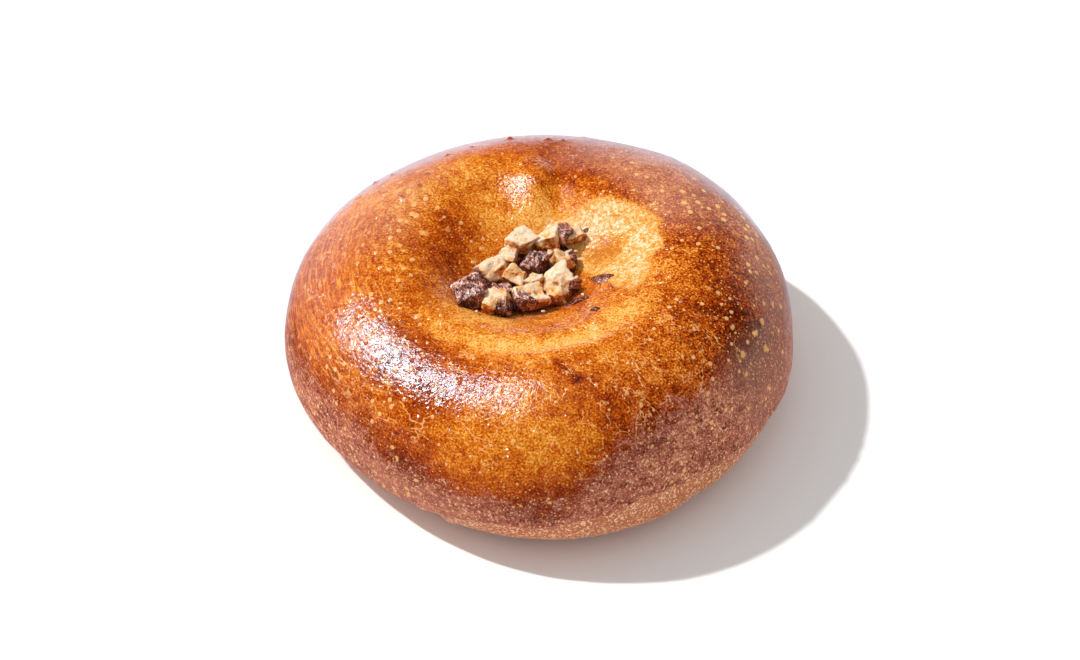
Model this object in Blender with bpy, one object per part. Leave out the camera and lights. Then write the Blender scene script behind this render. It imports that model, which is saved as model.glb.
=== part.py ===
"""Red bean bun: a round egg-washed bun, pressed down in the middle, with chopped walnut in the hollow.

Metres, +Z up. The origin is the middle of the bun's box at its flat base, and the front looks towards -Y.
The bun is uncut, so it is one solid. The walnut is one heap: a core in the hollow, and the pieces on it.
"""

import math
import random

import bmesh
import bpy
import numpy as np
from mathutils import Euler, Vector

MM = 0.001

# Outline at the widest level, seen from above: a circle with soft lobes
BUN_RADIUS = 52 * MM
LOBES = {2: (0.007, -3), 3: (0.026, 43), 4: (0.005, -3)}  # count: height as a share of the radius, and turn

# Side of the bun, from the base up
DOME_HEIGHT = 38.2 * MM  # before the middle is pressed down
WIDEST_HEIGHT = 10.6 * MM
BASE_SHARE = 0.74  # the flat base's radius, as a share of the outline's
HEEL_FULLNESS = 2.0  # 2 is an ellipse, more is boxier
DOME_FULLNESS = 4.6
INNER_SHARE = 0.62  # inside this share of the outline the rings are evenly spaced

# Pressed middle: a wide dish, and the deep hollow in it that holds the walnut
DISH = {"centre": (-2 * MM, 1 * MM), "radius": 20.5 * MM, "depth": 7.6 * MM, "edge": 2.6}
HOLLOW_CENTRE = (-3.4 * MM, 0.2 * MM)
HOLLOW_RADII = (17 * MM, 12.5 * MM)
HOLLOW_TURN = 42
HOLLOW_DEPTH = 2.2 * MM
HOLLOW_EDGE = 4

# Dents and swellings of the top: centre, radius and height, which is negative for a dent
SWELLINGS = [
    {"centre": (17 * MM, 6 * MM), "radius": 8 * MM, "height": -0.8 * MM},  # thumb dent on the right
    {"centre": (-0.8 * MM, 24 * MM), "radius": 5.5 * MM, "height": 1.5 * MM},  # knob beside the valley
    {"centre": (-17 * MM, 24 * MM), "radius": 10 * MM, "height": 0.6 * MM},  # back left of the ring
    {"centre": (15 * MM, 39 * MM), "radius": 11 * MM, "height": -1.3 * MM},  # flat slope behind the ring
    {"centre": (7 * MM, -37 * MM), "radius": 16 * MM, "height": 1.2 * MM},  # full front
    {"centre": (-30 * MM, -8 * MM), "radius": 12 * MM, "height": 0.5 * MM},  # left shoulder
]
# Valley over the ring at the back, from the hollow outwards; it fades in and out over shares of its length
VALLEY_START = (4.2 * MM, 12 * MM)
VALLEY_FADES = (0.25, 0.33)
VALLEY = {"turn": 92, "length": 26 * MM, "width": 3.2 * MM, "depth": 1.6 * MM}
# Shallow groove round the front of the hollow, with angles in degrees
GROOVE_CENTRE = (-3.4 * MM, 1 * MM)
GROOVE_TURNS = {"from": 215, "to": 335, "fade": 25}
GROOVE = {"radius": 27.2 * MM, "width": 2.2 * MM, "depth": 0.8 * MM}

# Meshes
BUN_SIDES = 96
HEEL_RINGS = 9
DOME_RINGS = 15
INNER_RINGS = 18

# Walnut heap
CLEARANCE = 0.45 * MM  # upwards, which leaves over 0.3 mm square to the hollow's wall
CORE_RADII = (14 * MM, 9.5 * MM)
CORE_THICKNESS = 2.2 * MM
CORE_SIDES = 24
CORE_RINGS = 10
ROOM_RADII = (24 * MM, 19 * MM)
ROOM_DEPTH = 12 * MM
ROOM_SIDES = 36
ROOM_RINGS = 28
CHIP_TILT = 14  # degrees by which a piece's sides are out of square, at most
SIDE_SHARES = (0.8, 0.95)  # how far out a side lies, as a share of the piece's half length, width or height
CHIPPED_CORNERS = 4
CHIP_SHARES = (0.5, 0.7)  # how far out a chip lies, as a share of the corner's distance from the middle
EDGE_ROUNDING = 0.35 * MM
SHORTEST_EDGE = 0.05 * MM
LEAN = 12  # degrees by which a piece leans, at most
# The pieces that show, from the back to the front: x and y of the middle, the height of the middle above the
# hollow's surface, then length, width, height and turn about Z in degrees
WALNUT_PIECES = [
    (-3.8, 9.2, 2.9, 6.4, 5.2, 5.2, 20),
    (2.0, 9.5, 2.8, 5.6, 5.0, 4.8, -15),
    (5.8, 10.4, 2.6, 6.8, 4.2, 3.8, 25),
    (-6.2, 4.6, 2.4, 4.6, 3.8, 3.8, 70),
    (-0.8, 2.8, 3.4, 5.2, 4.8, 4.8, 40),
    (4.9, 4.3, 2.6, 5.4, 4.4, 3.8, 30),
    (-9.5, 0.9, 2.7, 6.2, 5.2, 4.6, 35),
    (-5.0, -0.3, 2.9, 4.4, 4.0, 4.2, -20),
    (3.9, -1.4, 3.4, 7.0, 4.2, 3.4, 12),
    (-0.2, -1.2, 2.4, 3.8, 3.2, 3.2, 60),
    (6.1, -3.9, 2.2, 5.6, 2.8, 3.4, 50),
    (-13.5, -8.4, 2.6, 6.6, 5.8, 5.4, 15),
    (-7.9, -10.4, 2.4, 5.4, 5.4, 5.2, 75),
    (-1.6, -8.6, 3.0, 7.2, 5.2, 5.0, 22),
    (3.1, -7.6, 2.2, 3.8, 3.2, 3.4, -30),
    (-7.2, -4.6, 2.0, 4.2, 3.2, 3.4, 10),
]


def smooth_step(value):
    value = np.clip(value, 0, 1)
    return value * value * (3 - 2 * value)


def outline_radius(turn):
    """Radius of the outline at an angle in radians."""
    lobes = sum(share * np.cos(count * (turn - math.radians(at))) for count, (share, at) in LOBES.items())
    return BUN_RADIUS * (1 + lobes)


def outline_middle():
    """Middle of the outline's box, which the bun is moved by so that the box is centred."""
    turns = np.linspace(0, 2 * math.pi, 721)
    x = outline_radius(turns) * np.cos(turns)
    y = outline_radius(turns) * np.sin(turns)
    return (x.min() + x.max()) / 2, (y.min() + y.max()) / 2


def hollow_share(x, y):
    """How far out in the oval hollow a point lies: 0 in its middle, 1 on its edge."""
    turn = math.radians(HOLLOW_TURN)
    dx = x - HOLLOW_CENTRE[0]
    dy = y - HOLLOW_CENTRE[1]
    along = (dx * math.cos(turn) + dy * math.sin(turn)) / HOLLOW_RADII[0]
    across = (dy * math.cos(turn) - dx * math.sin(turn)) / HOLLOW_RADII[1]
    return np.hypot(along, across)


def pressed_depth(x, y):
    """Depth by which the middle is pressed down, without the valley, groove and swellings."""
    dish_share = np.hypot(x - DISH["centre"][0], y - DISH["centre"][1]) / DISH["radius"]
    dish = DISH["depth"] * np.exp(-(dish_share ** DISH["edge"]))
    return dish + HOLLOW_DEPTH * np.exp(-(hollow_share(x, y) ** HOLLOW_EDGE))


def surface_relief(x, y):
    """Height of the dents, swellings, valley and groove."""
    height = 0.0
    for swelling in SWELLINGS:
        distance = np.hypot(x - swelling["centre"][0], y - swelling["centre"][1])
        height = height + swelling["height"] * np.exp(-((distance / swelling["radius"]) ** 2))

    turn = math.radians(VALLEY["turn"])
    dx = x - VALLEY_START[0]
    dy = y - VALLEY_START[1]
    along = (dx * math.cos(turn) + dy * math.sin(turn)) / VALLEY["length"]
    across = (dy * math.cos(turn) - dx * math.sin(turn)) / VALLEY["width"]
    ends = smooth_step(along / VALLEY_FADES[0]) * smooth_step((1 - along) / VALLEY_FADES[1])
    height = height - VALLEY["depth"] * ends * np.exp(-(across**2))

    distance = np.hypot(x - GROOVE_CENTRE[0], y - GROOVE_CENTRE[1])
    angle = np.degrees(np.arctan2(y - GROOVE_CENTRE[1], x - GROOVE_CENTRE[0])) % 360
    begin = smooth_step((angle - GROOVE_TURNS["from"]) / GROOVE_TURNS["fade"])
    end = smooth_step((GROOVE_TURNS["to"] - angle) / GROOVE_TURNS["fade"])
    across = (distance - GROOVE["radius"]) / GROOVE["width"]
    return height - GROOVE["depth"] * begin * end * np.exp(-(across**2))


def top_height(x, y):
    """Height of the bun's upper surface over a point inside the outline: a dome with the press in it."""
    middle = outline_middle()
    turn = np.arctan2(y + middle[1], x + middle[0])
    share = np.clip(np.hypot(x + middle[0], y + middle[1]) / outline_radius(turn), 0, 1)
    rise = DOME_HEIGHT - WIDEST_HEIGHT - pressed_depth(x, y) + surface_relief(x, y)
    return WIDEST_HEIGHT + rise * np.sqrt(1 - share**DOME_FULLNESS)


def meridian():
    """Rings from the base to the middle of the top, as (share of the outline, height or None for the top)."""
    rings = [(BASE_SHARE, 0.0)]
    for i in range(1, HEEL_RINGS):
        angle = math.pi / 2 * i / HEEL_RINGS
        share = BASE_SHARE + (1 - BASE_SHARE) * math.sin(angle) ** (2 / HEEL_FULLNESS)
        height = WIDEST_HEIGHT * (1 - math.cos(angle) ** (2 / HEEL_FULLNESS))
        rings.append((share, height))
    last_angle = math.acos(INNER_SHARE ** (DOME_FULLNESS / 2))
    for i in range(DOME_RINGS):
        angle = last_angle * i / DOME_RINGS
        rings.append((math.cos(angle) ** (2 / DOME_FULLNESS), None))
    for i in range(INNER_RINGS):
        rings.append((INNER_SHARE * (1 - i / INNER_RINGS), None))
    return rings


def new_object(name, shape, collection):
    mesh = bpy.data.meshes.new(name)
    shape.to_mesh(mesh)
    shape.free()
    made = bpy.data.objects.new(name, mesh)
    collection.objects.link(made)
    return made


def bun_shape():
    """A sphere whose rings are moved to the bun's meridian."""
    rings = meridian()
    middle = outline_middle()
    shape = bmesh.new()
    bmesh.ops.create_uvsphere(shape, u_segments=BUN_SIDES, v_segments=len(rings) + 1, radius=1)
    for vertex in shape.verts:
        turn = math.atan2(vertex.co.y, vertex.co.x)
        ring = round((math.pi - math.acos(max(-1, min(1, vertex.co.z)))) / math.pi * (len(rings) + 1))
        if ring == 0:
            share, height = 0.0, 0.0
        elif ring > len(rings):
            share, height = 0.0, None
        else:
            share, height = rings[ring - 1]
        reach = share * outline_radius(turn)
        x = reach * math.cos(turn) - middle[0]
        y = reach * math.sin(turn) - middle[1]
        if height is None:
            height = top_height(x, y)
        vertex.co = (x, y, height)
    return shape


def oval_point(radii, point):
    """Moves a point of the unit circle to an oval over the hollow, and gives its x and y."""
    turn = math.radians(HOLLOW_TURN)
    along = radii[0] * point.x
    across = radii[1] * point.y
    x = HOLLOW_CENTRE[0] + along * math.cos(turn) - across * math.sin(turn)
    y = HOLLOW_CENTRE[1] + along * math.sin(turn) + across * math.cos(turn)
    return x, y


def core_shape():
    """The middle of the heap: it lines the hollow and swells upwards, and thins out to its rim."""
    shape = bmesh.new()
    bmesh.ops.create_uvsphere(shape, u_segments=CORE_SIDES, v_segments=CORE_RINGS, radius=1)
    for vertex in shape.verts:
        x, y = oval_point(CORE_RADII, vertex.co)
        thickness = CORE_THICKNESS if vertex.co.z > 0 else CLEARANCE
        vertex.co = (x, y, top_height(x, y) + CLEARANCE + thickness * vertex.co.z)
    return shape


def room_shape():
    """The bun under the heap and the gap over it, which the heap is trimmed by."""
    shape = bmesh.new()
    bmesh.ops.create_uvsphere(shape, u_segments=ROOM_SIDES, v_segments=ROOM_RINGS, radius=1)
    for vertex in shape.verts:
        x, y = oval_point(ROOM_RADII, vertex.co)
        sink = ROOM_DEPTH * max(0, -vertex.co.z)
        vertex.co = (x, y, top_height(x, y) + CLEARANCE - sink)
    return shape


def piece_planes(length, width, height, dice):
    """The flat sides of a chopped piece: an uneven block's six and a few chipped corners."""
    planes = []
    halves = (length / 2, width / 2, height / 2)
    for axis, half in enumerate(halves):
        for side in (-1, 1):
            normal = Vector((0, 0, 0))
            normal[axis] = side
            normal.rotate(Euler([math.radians(dice.uniform(-CHIP_TILT, CHIP_TILT)) for _ in range(3)]))
            planes.append((normal, half * dice.uniform(*SIDE_SHARES)))
    for _ in range(CHIPPED_CORNERS):
        corner = Vector([dice.choice((-1, 1)) * half for half in halves])
        planes.append((corner.normalized(), corner.length * dice.uniform(*CHIP_SHARES)))
    return planes


def piece_shape(planes):
    """A cube larger than the piece, cut by each plane in turn, with its edges taken off."""
    shape = bmesh.new()
    bmesh.ops.create_cube(shape, size=4 * max(reach for _, reach in planes))
    for normal, reach in planes:
        everything = shape.verts[:] + shape.edges[:] + shape.faces[:]
        bmesh.ops.bisect_plane(
            shape, geom=everything, plane_co=normal * reach, plane_no=normal, clear_outer=True
        )
        bmesh.ops.holes_fill(shape, edges=shape.edges[:], sides=0)
    bmesh.ops.remove_doubles(shape, verts=shape.verts[:], dist=SHORTEST_EDGE)
    bmesh.ops.bevel(
        shape, geom=shape.edges[:], offset=EDGE_ROUNDING, segments=1, affect="EDGES", clamp_overlap=True
    )
    bmesh.ops.triangulate(shape, faces=shape.faces[:])
    return shape


def add_pieces(collection):
    dice = random.Random(11)
    for number, row in enumerate(WALNUT_PIECES):
        x, y, lift, length, width, height = (value * MM for value in row[:6])
        shape = piece_shape(piece_planes(length, width, height, dice))
        piece = new_object(f"piece_{number}", shape, collection)
        lean = [math.radians(dice.uniform(-LEAN, LEAN)) for _ in range(2)]
        piece.rotation_euler = (lean[0], lean[1], math.radians(row[6]))
        piece.location = (x, y, top_height(x, y) + lift)


def apply_modifiers(target):
    """Replaces the object's mesh with the one its modifiers give, and removes them."""
    bpy.context.view_layer.update()
    result = target.evaluated_get(bpy.context.evaluated_depsgraph_get())
    mesh = bpy.data.meshes.new_from_object(result)
    target.modifiers.clear()
    target.data = mesh


def remove_all(collection):
    for helper in list(collection.objects):
        bpy.data.objects.remove(helper)
    bpy.data.collections.remove(collection)


def make_material(name, colour, roughness):
    material = bpy.data.materials.new(name)
    material.use_nodes = True
    surface = material.node_tree.nodes["Principled BSDF"]
    surface.inputs["Base Color"].default_value = (*colour, 1)
    surface.inputs["Roughness"].default_value = roughness
    surface.inputs["Metallic"].default_value = 0
    return material


def shade_round(made, sharp_angle):
    made.data.shade_smooth()
    made.data.set_sharp_from_angle(angle=math.radians(sharp_angle))


def make_bun(collection):
    bun = new_object("bun", bun_shape(), collection)
    bun.data.materials.append(make_material("crust", (0.52, 0.17, 0.03), 0.35))
    shade_round(bun, 60)


def make_walnut_heap(collection, scene_collection):
    heap = new_object("walnut_heap", core_shape(), collection)
    pieces = bpy.data.collections.new("walnut_pieces")
    scene_collection.children.link(pieces)
    add_pieces(pieces)
    union = heap.modifiers.new("join", "BOOLEAN")
    union.operation = "UNION"
    union.operand_type = "COLLECTION"
    union.collection = pieces
    union.solver = "MANIFOLD"
    apply_modifiers(heap)
    remove_all(pieces)

    cutters = bpy.data.collections.new("cutters")
    scene_collection.children.link(cutters)
    bun_room = new_object("bun_room", room_shape(), cutters)
    bun_room.hide_render = True
    bun_room.display_type = "WIRE"
    trim = heap.modifiers.new("trim", "BOOLEAN")
    trim.operation = "DIFFERENCE"
    trim.object = bun_room
    trim.solver = "MANIFOLD"
    apply_modifiers(heap)
    remove_all(cutters)

    heap.data.materials.clear()
    heap.data.materials.append(make_material("walnut", (0.62, 0.38, 0.18), 0.6))
    shade_round(heap, 35)


def main():
    for leftover in list(bpy.data.objects):
        bpy.data.objects.remove(leftover)
    scene_collection = bpy.context.scene.collection
    collection = bpy.data.collections.new("red_bean_bun")
    scene_collection.children.link(collection)
    make_bun(collection)
    make_walnut_heap(collection, scene_collection)


main()
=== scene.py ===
import math
import random

import bpy
import numpy as np
from mathutils import Euler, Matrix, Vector


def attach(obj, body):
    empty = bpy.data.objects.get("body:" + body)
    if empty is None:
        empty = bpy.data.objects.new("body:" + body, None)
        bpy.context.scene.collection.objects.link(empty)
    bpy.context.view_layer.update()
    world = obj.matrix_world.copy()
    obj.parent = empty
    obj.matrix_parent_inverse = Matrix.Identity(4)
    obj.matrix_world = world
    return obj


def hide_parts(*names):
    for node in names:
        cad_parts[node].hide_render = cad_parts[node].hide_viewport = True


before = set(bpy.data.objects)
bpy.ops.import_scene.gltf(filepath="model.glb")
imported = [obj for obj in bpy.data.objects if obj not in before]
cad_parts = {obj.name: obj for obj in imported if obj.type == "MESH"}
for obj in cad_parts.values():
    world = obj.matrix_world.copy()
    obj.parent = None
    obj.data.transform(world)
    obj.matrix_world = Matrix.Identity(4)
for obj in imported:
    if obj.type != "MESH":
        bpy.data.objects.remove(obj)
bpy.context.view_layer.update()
print("frame loaded")

# Every form below is worked out in millimetres, and becomes metres when its mesh is made
toMetres = 0.001

# The bun's plain form, which the crust, the walnut and its crumbs all stand on
bunForm = {
    "radius": 52.0,
    "lobes": {2: (0.007, -3), 3: (0.026, 43), 4: (0.005, -3)},  # count: share of the radius, and turn
    "domeHeight": 38.2,  # before the middle is pressed down
    "widestHeight": 10.6,
    "baseShare": 0.74,
    "domeFullness": 4.6,  # higher is squarer
    "dish": {"centre": (-2.0, 1.0), "radius": 20.5, "depth": 7.6, "edge": 2.6},
    "hollow": {"centre": (-3.4, 0.2), "radii": (17.0, 12.5), "turn": 42, "depth": 2.2, "edge": 4},
    "valley": {
        "start": (4.2, 12.0),
        "turn": 92,
        "length": 26.0,
        "width": 3.2,
        "depth": 1.6,
        "fades": (0.25, 0.33),  # shares of the length
    },
    "groove": {
        "centre": (-3.4, 1.0),
        "radius": 27.2,
        "width": 2.2,
        "depth": 0.8,
        "turns": (215, 335),
        "fade": 25,
    },
}

# Dents and swellings of the top: x, y, radius, height
bunSwellings = [
    (17, 6, 8, -0.8),  # thumb dent on the right
    (-0.8, 24, 5.5, 1.5),  # knob beside the valley
    (-17, 24, 10, 0.6),
    (15, 39, 11, -1.3),  # flat slope behind the ring
    (7, -37, 16, 1.2),  # full front
    (-30, -8, 12, 0.5),
]


def rises(value, start, width):
    # 0 up to the start, 1 from start + width on, and 3t^2 - 2t^3 between
    share = np.clip((value - start) / width, 0, 1)
    return share * share * (3 - 2 * share)


def bell(distance, reach):
    # exp(-(distance / reach)^2)
    return np.exp(-((distance / reach) ** 2))


def lowDome(distance, reach):
    # (1 - (distance / reach)^2)^2, and 0 outside the reach
    return (1 - (distance / reach).clip(0, 1) ** 2) ** 2


def turnShare(dx, dy, turns, fade):
    # 1 between two directions in degrees and 0 outside them, with soft ends
    angle = (np.degrees(np.arctan2(dy, dx)) - turns[0]) % 360
    return rises(angle, 0, fade) * rises(turns[1] - turns[0] - angle, 0, fade)


def arcBell(x, y, arc):
    # a bell across part of a circle
    dx = x - arc["centre"][0]
    dy = y - arc["centre"][1]
    ends = turnShare(dx, dy, arc["turns"], arc["fade"])
    return ends * bell(np.hypot(dx, dy) - arc["radius"], arc["width"])


def outlineRadius(turn):
    # a circle with cosine lobes
    radius = bunForm["radius"]
    for count, (share, at) in bunForm["lobes"].items():
        radius = radius + bunForm["radius"] * share * np.cos(count * (turn - math.radians(at)))
    return radius


def findOutlineMiddle():
    # the middle of the outline's box
    turns = np.linspace(0, 2 * math.pi, 721)
    x = outlineRadius(turns) * np.cos(turns)
    y = outlineRadius(turns) * np.sin(turns)
    return (x.min() + x.max()) / 2, (y.min() + y.max()) / 2


outlineMiddle = findOutlineMiddle()


def turnedFrame(x, y, centre, degrees):
    # distances along and across a direction, measured from a centre
    turn = math.radians(degrees)
    dx = x - centre[0]
    dy = y - centre[1]
    return dx * math.cos(turn) + dy * math.sin(turn), dy * math.cos(turn) - dx * math.sin(turn)


def pressedDepth(x, y):
    # depth * exp(-(distance / radius)^edge) for the wide dish, and the same on ovals for the hollow
    dish = bunForm["dish"]
    hollow = bunForm["hollow"]
    distance = np.hypot(x - dish["centre"][0], y - dish["centre"][1])
    depth = dish["depth"] * np.exp(-((distance / dish["radius"]) ** dish["edge"]))
    along, across = turnedFrame(x, y, hollow["centre"], hollow["turn"])
    share = np.hypot(along / hollow["radii"][0], across / hollow["radii"][1])
    return depth + hollow["depth"] * np.exp(-(share ** hollow["edge"]))


def swellings(x, y, rows):
    # the sum of height * bell over the rows' places
    return sum(rise * bell(np.hypot(x - cx, y - cy), reach) for cx, cy, reach, rise in rows)


def broadRelief(x, y):
    # bell-shaped swellings, a valley that fades at its ends, and a groove on part of a circle
    valley = bunForm["valley"]
    along, across = turnedFrame(x, y, valley["start"], valley["turn"])
    along = along / valley["length"]
    ends = rises(along, 0, valley["fades"][0]) * rises(1 - along, 0, valley["fades"][1])
    pressed = valley["depth"] * ends * bell(across, valley["width"])
    groove = bunForm["groove"]
    return swellings(x, y, bunSwellings) - pressed - groove["depth"] * arcBell(x, y, groove)


def topHeight(x, y):
    # widest level + rise * sqrt(1 - share^fullness), with the press and the relief in the rise
    turn = np.arctan2(y + outlineMiddle[1], x + outlineMiddle[0])
    share = np.clip(np.hypot(x + outlineMiddle[0], y + outlineMiddle[1]) / outlineRadius(turn), 0, 1)
    rise = bunForm["domeHeight"] - bunForm["widestHeight"] - pressedDepth(x, y) + broadRelief(x, y)
    return bunForm["widestHeight"] + rise * np.sqrt(1 - share ** bunForm["domeFullness"])


def latticeNoise(points, size, seed):
    # random heights from -1 to 1 on a cubic lattice, blended smoothly between its corners
    cells = 64
    table = np.random.default_rng(seed).uniform(-1, 1, (cells, cells, cells))
    place = points / size + 500
    base = np.floor(place).astype(np.int64)
    part = place - base
    blend = part * part * (3 - 2 * part)
    total = np.zeros(points.shape[:-1])
    for corner in range(8):
        step = np.array([corner & 1, corner >> 1 & 1, corner >> 2 & 1])
        weight = np.prod(np.where(step, blend, 1 - blend), axis=-1)
        index = (base + step) % cells
        total = total + weight * table[index[..., 0], index[..., 1], index[..., 2]]
    return total


def blisterNoise(points, size, reach, seed):
    # one low dome at a random place in each cell of a lattice
    cells = 64
    dice = np.random.default_rng(seed)
    jitter = dice.uniform(0.15, 0.85, (cells, cells, cells, 3))
    heights = dice.uniform(-0.6, 1, (cells, cells, cells)).clip(0)
    place = points / size + 500
    base = np.floor(place).astype(np.int64)
    total = np.zeros(points.shape[:-1])
    for number in range(27):
        cell = base + np.array([number % 3, number // 3 % 3, number // 9]) - 1
        index = cell % cells
        spot = cell + jitter[index[..., 0], index[..., 1], index[..., 2]]
        distance = np.linalg.norm(place - spot, axis=-1) * size
        height = heights[index[..., 0], index[..., 1], index[..., 2]]
        total = np.maximum(total, height * lowDome(distance, reach))
    return total


def polesAndRings(sides, rings, start=0):
    # faces of a closed form: a pole, rings of points from the bottom up, and a pole
    ring = start + 1 + np.arange(rings * sides).reshape(rings, sides)
    following = np.roll(ring, -1, axis=1)
    quads = np.stack((ring[:-1], following[:-1], following[1:], ring[1:]), axis=-1).reshape(-1, 4)
    top = start + 1 + rings * sides
    bottomFan = np.stack((np.full(sides, start), following[0], ring[0]), axis=-1)
    topFan = np.stack((np.full(sides, top), ring[-1], following[-1]), axis=-1)
    return quads, np.concatenate((bottomFan, topFan))


def makePiece(name, points, quads, triangles, marks=None):
    # points in millimetres become a smooth mesh in metres; marks are one number for each point
    mesh = bpy.data.meshes.new(name)
    mesh.from_pydata((points * toMetres).tolist(), [], quads.tolist() + triangles.tolist())
    for mark, values in (marks or {}).items():
        layer = mesh.attributes.new(mark, "FLOAT", "POINT")
        layer.data.foreach_set("value", np.ascontiguousarray(values, dtype=np.float32))
    mesh.shade_smooth()
    piece = bpy.data.objects.new(name, mesh)
    bpy.context.scene.collection.objects.link(piece)
    return piece


class Nodes:
    # the nodes of one material, or of the world; a value is a number, a colour or another node's socket

    def __init__(self, owner):
        owner.use_nodes = True
        self.owner = owner
        self.tree = owner.node_tree

    def plug(self, node, values):
        # links what comes from a socket and sets what is plain
        for socket, value in values.items():
            if isinstance(value, bpy.types.NodeSocket):
                self.tree.links.new(value, node.inputs[socket])
            else:
                node.inputs[socket].default_value = value

    def node(self, kind, values, **settings):
        node = self.tree.nodes.new("ShaderNode" + kind)
        for name, value in settings.items():
            setattr(node, name, value)
        self.plug(node, values)
        return node

    def output(self, kind, values, socket=0, **settings):
        return self.node(kind, values, **settings).outputs[socket]

    def calculate(self, operation, *values, **settings):
        return self.output("Math", dict(enumerate(values)), operation=operation, **settings)

    def vector(self, operation, *values, socket=0):
        return self.output("VectorMath", dict(enumerate(values)), socket, operation=operation)

    def multiply(self, product, *factors):
        for factor in factors:
            product = self.calculate("MULTIPLY", product, factor)
        return product

    def scaleAdd(self, value, factor, extra):
        # value * factor + extra
        return self.calculate("MULTIPLY_ADD", value, factor, extra)

    def addShares(self, total, *shares):
        # the total and each value times its factor
        for value, factor in shares:
            total = self.scaleAdd(value, factor, total)
        return total

    def fade(self, value, low, high, lowResult=0.0, highResult=1.0):
        # one result below low, the other above high, and a smooth change between
        values = dict(enumerate((value, low, high, lowResult, highResult)))
        return self.output("MapRange", values, interpolation_type="SMOOTHSTEP")

    def between(self, share, low, high):
        # low at share 0, high at share 1
        return self.output("MapRange", {0: share, 3: low, 4: high})

    def mix(self, share, first, second):
        # the first colour at share 0, the second at share 1
        return self.output("Mix", {0: share, 6: first, 7: second}, 2, data_type="RGBA")

    def noise(self, size, detail, roughness, distortion=0.0, place=None):
        # 0 to 1, about 0.5 on average; the size is in millimetres
        values = {"Vector": place or self.place, "Scale": 1 / size, "Detail": detail}
        return self.output("TexNoise", {**values, "Roughness": roughness, "Distortion": distortion})

    def unevenness(self, *noise):
        # -0.5 to 0.5
        return self.calculate("SUBTRACT", self.noise(*noise), 0.5)

    def spots(self, size, distances, strengths, channel=0, swell=0.0):
        # round spots in random cells, each with its own strength: full up to the first distance from a
        # cell's middle, gone beyond the second, and larger where swell is more
        cells = self.node("TexVoronoi", {"Vector": self.place, "Scale": 1 / size}).outputs
        chance = self.output("SeparateColor", {0: cells["Color"]}, channel)
        distance = self.scaleAdd(swell, -0.13, cells["Distance"])
        return self.multiply(self.fade(distance, *distances, 1.0, 0.0), self.fade(chance, *strengths))

    def ramp(self, share, stops):
        # colours straight between the stops
        node = self.node("ValToRGB", {0: share})
        elements = node.color_ramp.elements
        while len(elements) < len(stops):
            elements.new(0.5)
        for element, (position, colour) in zip(elements, stops):
            element.position = position
            element.color = (*colour, 1)
        return node.outputs[0]

    def mark(self, name):
        # a number that the mesh carries at each point
        return self.output("Attribute", {}, "Fac", attribute_name=name)

    def bump(self, height, distance):
        # the distance is in millimetres
        return self.output("Bump", {"Height": height, "Distance": distance * toMetres})


def newMaterial(name):
    # patterns follow the object's own place, in millimetres
    nodes = Nodes(bpy.data.materials.new(name))
    nodes.surface = nodes.tree.nodes["Principled BSDF"]
    place = nodes.output("TexCoord", {}, "Object")
    nodes.place = nodes.output("VectorMath", {0: place, 3: 1 / toMetres}, operation="SCALE")
    return nodes


bunSurface = {
    "sides": 440,
    "rings": (14, 34, 84, 74),  # of the base, the heel, the dome and its inner part
    "innerShare": 0.62,  # where the inner part begins
    "heelFullness": 2.0,
    "inset": 0.3,  # keeps the relief inside the bun's real size
    "highest": 37.55,  # and so does this
    "undulations": ((13, 0.2), (5.5, 0.1), (2.6, 0.04)),  # size and height
    "blisters": ((3.6, 1.15, 0.16), (2.1, 0.7, 0.07)),  # spacing, radius and height
    "ledge": {"width": 1.1, "rise": 0.18, "step": 0.65},
    "dimples": {"size": 6, "depth": 0.3, "edge": 0.70},  # of the underside
}

# Dents and swellings too small for the plain form: x, y, radius, height
smallDents = [(-8.8, 20.5, 6, -1.3), (-16, 21, 4.5, -0.6), (1.5, 25, 4, 0.4)]

# Small raised blisters that browned darker: x, y, radius, height
darkBlisters = [
    (-23, 25, 1.0, 0.45), (-24.5, 21.5, 0.9, 0.4), (-28, 18, 1.1, 0.45), (-34, 28, 1.0, 0.5),
    (-30.5, 29, 0.8, 0.35), (-6, 39, 1.0, 0.5), (2, 38.5, 0.9, 0.45), (5, 38, 0.8, 0.4),
    (-19, 33, 0.8, 0.35), (-14, 36, 0.7, 0.3),
]

# Larger blisters whose skin stayed pale: x, y, radius, height
paleBlisters = [
    (45, -10.5, 1.25, 0.4), (45.6, -15, 1.3, 0.4), (43.6, -14, 1.0, 0.35), (40.8, -20.2, 1.2, 0.4),
    (38.8, -16, 0.9, 0.3), (41.5, -23, 0.9, 0.3), (30.8, -19.5, 0.8, 0.25), (33.5, -31.2, 0.9, 0.3),
    (47.5, -4, 1.0, 0.3), (36, -9, 0.8, 0.25), (20, -38, 0.8, 0.25), (-5, -45, 0.9, 0.3),
    (-30, -4, 0.8, 0.3), (-24, -17, 0.9, 0.35), (-27.5, -13.5, 0.7, 0.25),
]

# Burst blisters, a low rim round a dip: x, y, radius, height of the rim
burstBlisters = [(-26.8, 19, 2.3, 0.4), (-37, 22, 1.6, 0.25), (27, 21, 1.5, 0.2)]

# A tear in the edge that lay on the tray, and lumps of the side: x, y, z, radius, height
sideDents = [
    (-20.8, -43.2, 4.8, 1.4, -1.6),
    (-18.3, -44.6, 5.0, 1.6, 0.4),
    (-23.4, -41.8, 5.2, 1.8, 0.3),
    (-20.5, -45.2, 14.7, 1.3, 0.35),
    (-20.5, -45.2, 14.7, 0.7, -0.6),
    (33, -41, 7, 4, -0.5),
]

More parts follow.
